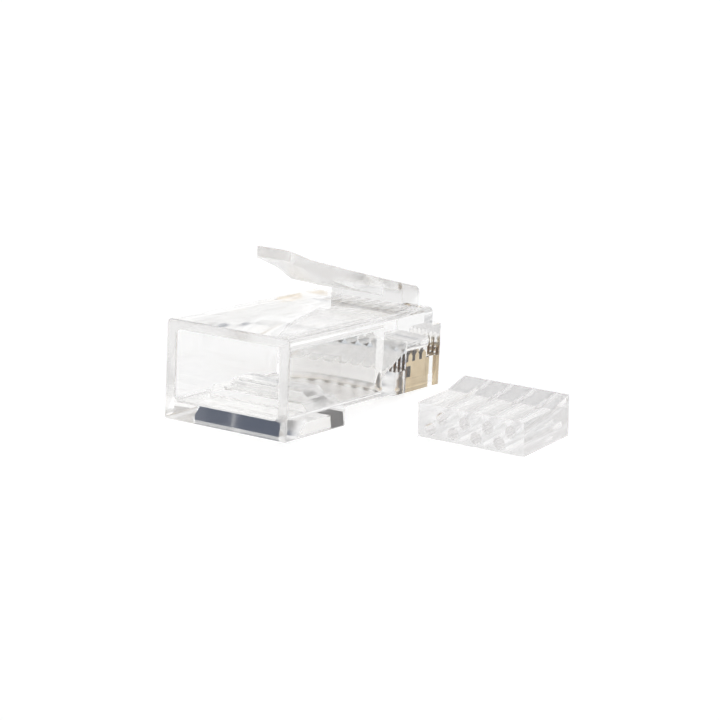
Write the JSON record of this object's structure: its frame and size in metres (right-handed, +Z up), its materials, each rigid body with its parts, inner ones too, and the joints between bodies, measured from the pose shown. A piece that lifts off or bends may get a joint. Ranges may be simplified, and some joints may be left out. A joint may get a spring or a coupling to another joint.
{
  "type": "rj45 modular plug",
  "caption": "Clear modular plug for network cable with a sprung latch, gold-plated contacts and an open cable mouth, lying beside its loose wire guide.",
  "frame": {"origin": "on the plug's centre line, where the plane of the nose's front face meets the surface that the plug rests on", "axes": "+X across the plug towards the load bar, +Y the way the plug enters a jack, +Z up; the plug itself rests nose down by 4.5 degrees on its heel and contacts"},
  "size_m": [0.0271, 0.0219, 0.0137],
  "materials": {
    "clear_plastic": "clear polycarbonate, polished mould finish",
    "guide_plastic": "clear polycarbonate, slightly hazy",
    "gold_plate": "gold-plated phosphor bronze"
  },
  "bodies": {
    "plug": {"housing": "clear_plastic", "contact_1": "gold_plate", "contact_2": "gold_plate", "contact_3": "gold_plate", "contact_4": "gold_plate", "contact_5": "gold_plate", "contact_6": "gold_plate", "contact_7": "gold_plate", "contact_8": "gold_plate", "load_bar": "guide_plastic"},
    "latch": {"latch": "clear_plastic"}
  },
  "joints": [
    {"name": "latch_flex", "type": "hinge", "parent": "plug", "child": "latch", "pos_m": [0, -0.00205, 0.0081], "axis": [1, 0, 0], "range_deg": [0, 16], "stiffness_Nm_per_rad": 0.2}
  ]
}
